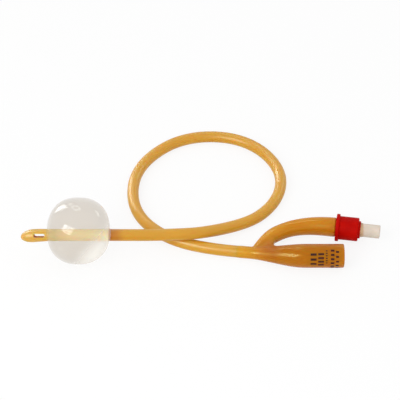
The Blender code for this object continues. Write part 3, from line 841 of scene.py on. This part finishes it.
# Print on the funnel: plain bars and dots. Each row round the funnel has its start and end
# along X in mm, how many bars it has, and in degrees a bar's width, the pitch and the middle.
BAR_ROWS = [
    (54.2, 57.2, 3, 11.0, 24.0, 26.0),
    (58.0, 60.9, 4, 9.5, 18.5, 24.0),
    (61.8, 62.7, 6, 5.0, 12.0, 38.0),
    (64.3, 66.1, 6, 10.5, 21.0, 17.0),
    (66.9, 68.4, 5, 9.5, 24.0, 15.0),
]
INK_THICKNESS = 0.03 * MM


def add_ink_patch(bm, x0, x1, angle0, angle1, centre, steps=4):
    """A thin raised patch round the funnel, between two angles up from the -Y side."""
    shells = []
    for radius in (FUNNEL_RADIUS, FUNNEL_RADIUS + INK_THICKNESS):
        rows = []
        for x in (x0, x1):
            row = []
            for k in range(steps + 1):
                angle = between(angle0, angle1, k / steps)
                offset = Vector((0, -math.cos(angle), math.sin(angle))) * radius
                row.append(bm.verts.new(Vector((x, centre.y, centre.z)) + offset))
            rows.append(row)
        shells.append(rows)
    for rows in shells:
        for k in range(steps):
            bm.faces.new((rows[0][k], rows[0][k + 1], rows[1][k + 1], rows[1][k]))
    inner, outer = shells
    for side in (0, 1):
        for k in range(steps):
            low, high = inner[side], outer[side]
            bm.faces.new((low[k], low[k + 1], high[k + 1], high[k]))
    for k in (0, steps):
        bm.faces.new((inner[0][k], inner[1][k], outer[1][k], outer[0][k]))


def make_print(points, ink):
    centre, _ = funnel_station(points, FUNNEL_LENGTH)
    bm = bmesh.new()
    for x0, x1, count, bar, pitch, middle_of_row in BAR_ROWS:
        first = math.radians(middle_of_row) - math.radians(pitch) * (count - 1) / 2
        for k in range(count):
            middle = first + math.radians(pitch) * k
            half = math.radians(bar) / 2
            add_ink_patch(bm, x0 * MM, x1 * MM, middle - half, middle + half, centre)
    dress(mesh_object("funnel_print", bm), ink, smooth_angle=30)


# Inflation valve, along its own axis from the flange's inner face outwards
FLANGE_RADIUS = 7.0 * MM
FLANGE_THICKNESS = 1.7 * MM
COLLAR_RADIUS = 6.0 * MM
COLLAR_LENGTH = 11.5 * MM
COLLAR_BORE_RADIUS = 4.6 * MM
COLLAR_END_WALL = 1.2 * MM
BOSS_RADIUS = 4.4 * MM
BOSS_HOLE_RADIUS = 3.9 * MM
BOSS_FRONT = 12.5 * MM
PORT_NECK_RADIUS = 3.6 * MM
PORT_NECK_FRONT = 13.5 * MM
PORT_RADIUS = 3.4 * MM
PORT_FRONT = 22.5 * MM
LUER_MOUTH_RADIUS = 2.1 * MM
LUER_BOTTOM_RADIUS = 1.875 * MM
LUER_BOTTOM = 15.0 * MM
PASSAGE_RADIUS = 1.7 * MM
CHAMBER_RADIUS = 4.3 * MM
CHAMBER_BORE_RADIUS = 3.3 * MM
CHAMBER_BACK = 2.3 * MM
CHAMBER_FRONT = 10.0 * MM
SEAT = 9.2 * MM


def place_on_valve(name, bm):
    """An object made along +X, put on the valve's axis."""
    piece = mesh_object(name, bm)
    turn = Matrix.Rotation(VALVE_YAW, 4, "Z")
    piece.data.transform(Matrix.Translation(VALVE_PLACE) @ turn)
    return piece


def turned_on_valve(name, corners, sides=96):
    bm = bmesh.new()
    turned(bm, rounded(corners), sides)
    return place_on_valve(name, bm)


def make_collar(red):
    wall_back = COLLAR_LENGTH - COLLAR_END_WALL
    corners = [
        (0, COLLAR_BORE_RADIUS, 0),
        (0, FLANGE_RADIUS, 0.3 * MM),
        (FLANGE_THICKNESS, FLANGE_RADIUS, 0.3 * MM),
        (FLANGE_THICKNESS, COLLAR_RADIUS, 0.3 * MM),
        (COLLAR_LENGTH, COLLAR_RADIUS, 0.6 * MM),
        (COLLAR_LENGTH, BOSS_RADIUS, 0.15 * MM),
        (BOSS_FRONT, BOSS_RADIUS, 0.2 * MM),
        (BOSS_FRONT, BOSS_HOLE_RADIUS, 0),
        (wall_back, BOSS_HOLE_RADIUS, 0),
        (wall_back, COLLAR_BORE_RADIUS, 0),
    ]
    collar = turned_on_valve("inflation_collar", corners)
    dress(collar, red, ["valve_collar"])


def make_port(white):
    corners = [
        (CHAMBER_BACK, CHAMBER_BORE_RADIUS, 0),
        (CHAMBER_BACK, CHAMBER_RADIUS, 0),
        (CHAMBER_FRONT, CHAMBER_RADIUS, 0.3 * MM),
        (CHAMBER_FRONT, PORT_NECK_RADIUS, 0),
        (PORT_NECK_FRONT, PORT_NECK_RADIUS, 0.15 * MM),
        (PORT_NECK_FRONT, PORT_RADIUS, 0.1 * MM),
        (PORT_FRONT, PORT_RADIUS, 0.7 * MM),
        (PORT_FRONT, LUER_MOUTH_RADIUS, 0.15 * MM),
        (LUER_BOTTOM, LUER_BOTTOM_RADIUS, 0),
        (LUER_BOTTOM, PASSAGE_RADIUS, 0),
        (SEAT, PASSAGE_RADIUS, 0),
        (SEAT, CHAMBER_BORE_RADIUS, 0),
    ]
    port = turned_on_valve("syringe_port", corners)
    dress(port, white, ["valve_port"])


# The spring between the tail's spigot and the plunger's disc, along the valve's axis.
SPRING_RADIUS = 1.9 * MM
SPRING_WIRE_RADIUS = 0.17 * MM
SPRING_COILS = 3
SPRING_START = 4.07 * MM
SPRING_END = 6.83 * MM


def make_spring(steel, steps_per_coil=48, sides=12):
    """A wire coil round the valve's axis."""
    steps = steps_per_coil * SPRING_COILS
    rings = []
    for i in range(steps + 1):
        angle = 2 * math.pi * i / steps_per_coil
        outwards = Vector((0, math.cos(angle), math.sin(angle)))
        reach = between(SPRING_START, SPRING_END, i / steps)
        centre = Vector((reach, 0, 0)) + SPRING_RADIUS * outwards
        ring = []
        for k in range(sides):
            side = 2 * math.pi * k / sides
            spoke = outwards * math.cos(side) + Vector((1, 0, 0)) * math.sin(side)
            ring.append(centre + SPRING_WIRE_RADIUS * spoke)
        rings.append(ring)
    bm = bmesh.new()
    loft(bm, rings)
    spring = place_on_valve("coil_spring", bm)
    dress(spring, steel, ["valve_spring"], body=None)
    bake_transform(spring)


def refinish_inner_pieces(white, ivory, black):
    """The CAD nodes inside the valve keep their shape and get their real finish."""
    finishes = {
        "valve_tail": white,
        "valve_plunger": ivory,
        "valve_seal": black,
    }
    for name, material in finishes.items():
        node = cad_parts[name]
        node.data.materials.clear()
        node.data.materials.append(material)


# Stage
FLOOR_HALF_SIZE = 3.0
FLOOR_WHITENESS = 0.85
FLOOR_SEEN_GREY = (0.95, 0.95, 0.95, 1)
FLOOR_LIT_GREY = (0.85, 0.85, 0.85, 1)
ROOM_LIGHT = 0.8
RING_STEPS = 48
RING_SIDES = 12
RING_STRETCH = 2.4
KEY_DIRECTION = (-0.498, -0.59, 0.636)
LIGHT_TARGET = Vector((0, 25, 5)) * MM


def background_share(tree):
    """1 for rays that should see the plain white background, 0 for rays that light things."""
    path = tree.nodes.new("ShaderNodeLightPath")
    total = path.outputs["Is Camera Ray"]
    for name in ("Is Glossy Ray", "Is Transmission Ray"):
        join = tree.nodes.new("ShaderNodeMath")
        join.operation = "MAXIMUM"
        tree.links.new(total, join.inputs[0])
        tree.links.new(path.outputs[name], join.inputs[1])
        total = join.outputs["Value"]
    return total


def make_floor():
    """A pale table: nearly white to look at, with a soft shadow, and grey where it gives light."""
    bm = bmesh.new()
    bmesh.ops.create_grid(bm, x_segments=1, y_segments=1, size=FLOOR_HALF_SIZE)
    floor = mesh_object("floor", bm)
    material = bpy.data.materials.new("pale_floor")
    material.use_nodes = True
    tree = material.node_tree
    tree.nodes.remove(tree.nodes["Principled BSDF"])
    seen = tree.nodes.new("ShaderNodeMixShader")
    seen.inputs["Fac"].default_value = FLOOR_WHITENESS
    card = tree.nodes.new("ShaderNodeBsdfDiffuse")
    card.inputs["Color"].default_value = FLOOR_SEEN_GREY
    white = tree.nodes.new("ShaderNodeEmission")
    tree.links.new(card.outputs["BSDF"], seen.inputs[1])
    tree.links.new(white.outputs["Emission"], seen.inputs[2])
    felt = tree.nodes.new("ShaderNodeBsdfDiffuse")
    felt.inputs["Color"].default_value = FLOOR_LIT_GREY
    choice = tree.nodes.new("ShaderNodeMixShader")
    tree.links.new(background_share(tree), choice.inputs["Fac"])
    tree.links.new(felt.outputs["BSDF"], choice.inputs[1])
    tree.links.new(seen.outputs["Shader"], choice.inputs[2])
    output = tree.nodes["Material Output"]
    tree.links.new(choice.outputs["Shader"], output.inputs["Surface"])
    floor.data.materials.append(material)


def make_world():
    world = bpy.data.worlds.new("white_room")
    bpy.context.scene.world = world
    world.use_nodes = True
    tree = world.node_tree
    background = tree.nodes["Background"]
    background.inputs["Color"].default_value = (1, 1, 1, 1)
    strength = spread(tree, background_share(tree), ROOM_LIGHT, 1.0, 0.0, 1.0)
    tree.links.new(strength, background.inputs["Strength"])


def aim(item, direction, distance, roll=0.0):
    """Stands a lamp off in a direction, facing the object and rolled by some degrees."""
    direction = Vector(direction).normalized()
    turn = direction.to_track_quat("Z", "Y").to_matrix().to_4x4()
    place = Matrix.Translation(LIGHT_TARGET + direction * distance)
    item.matrix_world = place @ turn @ Matrix.Rotation(math.radians(roll), 4, "Z")


def make_softbox(name, direction, distance, size, radiance, glint=False):
    """A softbox whose power follows from its brightness. A glint lamp adds only highlights."""
    light = bpy.data.lights.new(name, "AREA")
    light.shape = "RECTANGLE"
    light.size, light.size_y = size
    light.energy = radiance * math.pi * size[0] * size[1]
    item = bpy.data.objects.new(name, light)
    bpy.context.scene.collection.objects.link(item)
    item.visible_diffuse = not glint
    aim(item, direction, distance)


def glowing(name, radiance, half_size=None):
    """A lamp's own light, even all over, or fading from its middle to its rim."""
    material = bpy.data.materials.new(name)
    material.use_nodes = True
    tree = material.node_tree
    tree.nodes.remove(tree.nodes["Principled BSDF"])
    glow = tree.nodes.new("ShaderNodeEmission")
    glow.inputs["Strength"].default_value = radiance
    if half_size:
        shrink = tree.nodes.new("ShaderNodeVectorMath")
        shrink.operation = "MULTIPLY"
        shrink.inputs[1].default_value = (1 / half_size[0], 1 / half_size[1], 1)
        tree.links.new(place_on_object(tree), shrink.inputs[0])
        fade = tree.nodes.new("ShaderNodeTexGradient")
        fade.gradient_type = "SPHERICAL"
        tree.links.new(shrink.outputs["Vector"], fade.inputs["Vector"])
        strength = spread(tree, fade.outputs["Fac"], 0.0, radiance, 0.0, 0.7)
        strength.node.interpolation_type = "SMOOTHSTEP"
        tree.links.new(strength, glow.inputs["Strength"])
    output = tree.nodes["Material Output"]
    tree.links.new(glow.outputs["Emission"], output.inputs["Surface"])
    return material


def stage_lamp(lamp, material, direction, distance, roll=0.0):
    """A lamp that shows only in highlights and isn't part of the object."""
    lamp.data.materials.append(material)
    lamp.visible_camera = False
    lamp.visible_diffuse = False
    lamp.visible_shadow = False
    aim(lamp, direction, distance, roll)


def make_ring_lamp(name, direction, distance, radius, thickness, radiance):
    """A ring lamp, stretched upwards so that the balloon's curve shows it round."""
    bm = bmesh.new()
    sections = []
    for i in range(RING_STEPS):
        turn = 2 * math.pi * i / RING_STEPS
        section = []
        for k in range(RING_SIDES):
            side = 2 * math.pi * k / RING_SIDES
            out = radius + thickness * math.cos(side)
            across, up = out * math.cos(turn), RING_STRETCH * out * math.sin(turn)
            section.append(Vector((across, up, thickness * math.sin(side))))
        sections.append(section)
    loft(bm, sections, closed=True)
    stage_lamp(mesh_object(name, bm), glowing(name, radiance), direction, distance)


def make_soft_card(name, direction, distance, size, radiance, roll=0.0):
    """A reflector whose light fades towards its rim."""
    half = (size[0] / 2, size[1] / 2)
    bm = bmesh.new()
    corners = [(-1, -1), (1, -1), (1, 1), (-1, 1)]
    bm.faces.new([bm.verts.new((x * half[0], y * half[1], 0)) for x, y in corners])
    stage_lamp(mesh_object(name, bm), glowing(name, radiance, half), direction, distance, roll)


def make_lights():
    """A window-like key in front, and reflectors behind. The last number is a roll in degrees."""
    make_softbox("key_window", KEY_DIRECTION, 0.9, (0.51, 0.43), 4.3)
    make_softbox("key_glint", KEY_DIRECTION, 0.86, (0.49, 0.41), 7.8, glint=True)
    make_soft_card("left_rear", (-0.605, 0.715, 0.35), 1.0, (0.5, 1.0), 13.0, 17)
    make_soft_card("right_rear", (0.68, 0.55, 0.44), 1.0, (0.6, 0.36), 7.0, 35)
    make_soft_card("middle_rear", (-0.31, 0.8, 0.5), 1.0, (0.3, 0.36), 4.0)
    make_ring_lamp("rear_ring", (-0.165, 0.585, 0.79), 0.9, 0.066, 0.018, 6.0)


def make_camera():
    camera = bpy.data.cameras.new("camera")
    camera.sensor_width = SENSOR_WIDTH
    camera.lens = SENSOR_WIDTH * VIEW_DISTANCE / VIEW_WIDTH
    camera.clip_start = 0.01
    camera.clip_end = 20
    item = bpy.data.objects.new("camera", camera)
    bpy.context.scene.collection.objects.link(item)
    back = Vector((0, -math.cos(VIEW_ELEVATION), math.sin(VIEW_ELEVATION)))
    item.location = VIEW_TARGET + back * VIEW_DISTANCE
    item.rotation_euler = (math.pi / 2 - VIEW_ELEVATION, 0, 0)
    bpy.context.scene.camera = item


# Latex tones between two places along X. Thick latex is darker than thin latex. The shaft and
# the tip are painted pale where the milky balloon covers them, a painted veil of light, and the
# shaft is darkened with painted shade just past the balloon.
THIN_LATEX = srgb(212, 158, 42)
# Painted light: the pale veil that the milky balloon lays over the latex
PAINTED_VEIL_LATEX = srgb(240, 203, 124)
SHAFT_TONES = (
    -0.078,
    -0.038,
    [
        # Painted light: pale where the milky balloon covers the shaft
        (0.0, PAINTED_VEIL_LATEX),
        (0.4, srgb(249, 224, 166)),
        (0.77, srgb(252, 230, 184)),
        # Painted shade: darker just past the balloon
        (0.8, srgb(190, 114, 4)),
        (0.86, srgb(196, 128, 24)),
        (1.0, THIN_LATEX),
    ],
)
TIP_TONES = (
    -0.091,
    -0.073,
    [
        (0.0, srgb(212, 170, 84)),
        (0.7, srgb(222, 174, 70)),
        # Painted light: pale where the milky balloon covers the tip's end
        (0.83, PAINTED_VEIL_LATEX),
        (1.0, PAINTED_VEIL_LATEX),
    ],
)
HUB_TONES = (
    0.015,
    0.0715,
    [
        (0.0, THIN_LATEX),
        (0.25, srgb(211, 150, 44)),
        (0.55, srgb(205, 137, 30)),
        (0.9, srgb(202, 132, 26)),
        (1.0, srgb(203, 144, 50)),
    ],
)
# Painted shade on one side of the hub: tone, start and end of the side along Y, start and end of
# the neck along X
HUB_PAINTED_SIDE_SHADE = ((0.77, 0.63, 0.2, 1.0), 0.003, -0.004, 0.022, 0.036)
# Painted shade in the crotch: tone, centre and reach
HUB_PAINTED_CROTCH_SHADE = ((0.84, 0.56, 0.18, 1.0), (0.0345, -0.0035, 0.008), 0.0095)
# Where the matt start ends and full gloss begins along X, and how much more matt it is
HUB_LEAD = (0.017, 0.027, SHAFT_GLOSS[0] - HUB_GLOSS[0])


def make_materials():
    """Every finish, by name."""
    return {
        "shaft": amber_latex("shaft_latex", *SHAFT_TONES, SHAFT_GLOSS),
        "tip": amber_latex("tip_latex", *TIP_TONES, SHAFT_GLOSS),
        "hub": amber_latex(
            "hub_latex", *HUB_TONES, HUB_GLOSS, HUB_PAINTED_SIDE_SHADE, HUB_PAINTED_CROTCH_SHADE, HUB_LEAD
        ),
        "membrane": clear_membrane(),
        "red": moulded_plastic("red_plastic", srgb(190, 8, 0), srgb(178, 4, 0), 0.5, 0.04),
        "white": moulded_plastic(
            "white_plastic",
            srgb(222, 208, 192),
            srgb(213, 198, 181),
            0.45,
            # Painted shade on the port's neck next to the collar
            painted_collar_shade=((0.82, 0.62, 0.42, 1.0), 0.0815, 0.0825),
        ),
        "ivory": moulded_plastic(
            "ivory_plastic", srgb(232, 230, 224), srgb(224, 221, 214), 0.45
        ),
        "black": moulded_plastic("black_rubber", srgb(34, 34, 34), srgb(26, 26, 26), 0.6),
        "steel": bright_steel(),
        "ink": printing_ink(),
    }


def main():
    finishes = make_materials()
    make_camera()
    points = make_shaft(finishes["shaft"])
    make_tip(finishes["tip"])
    make_balloon(finishes["membrane"])
    make_hub(points, finishes["hub"])
    make_print(points, finishes["ink"])
    make_collar(finishes["red"])
    make_port(finishes["white"])
    make_spring(finishes["steel"])
    refinish_inner_pieces(finishes["white"], finishes["ivory"], finishes["black"])
    make_floor()
    make_world()
    make_lights()
    bpy.context.scene.view_settings.view_transform = "Standard"


main()
